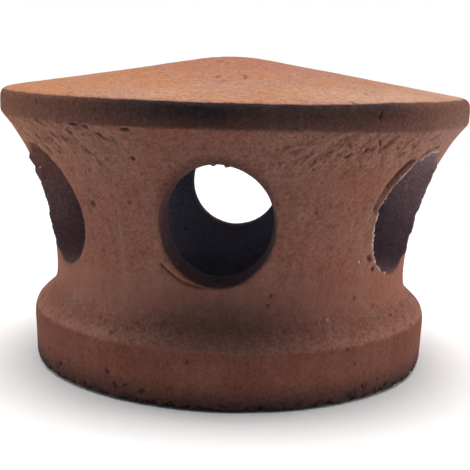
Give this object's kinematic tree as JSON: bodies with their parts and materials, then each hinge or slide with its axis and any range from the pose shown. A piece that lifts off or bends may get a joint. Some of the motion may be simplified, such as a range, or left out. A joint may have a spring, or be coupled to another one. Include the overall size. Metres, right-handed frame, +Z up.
{
  "type": "roof vent lantern",
  "caption": "Hollow terracotta vent lantern for a tiled roof: round base that drops over a tile's socket, flared neck with oval vents and a shallow cone cap that sheds rain.",
  "frame": {"origin": "centre of the flat underside of the base, on the turning axis", "axes": "+Z up along the turning axis to the cone's tip, -Y through the front vent"},
  "size_m": [0.184, 0.184, 0.12],
  "materials": {
    "terracotta": "matte, unglazed, rough-turned fired clay"
  },
  "bodies": {
    "root": {"lantern_body": "terracotta"}
  },
  "joints": []
}
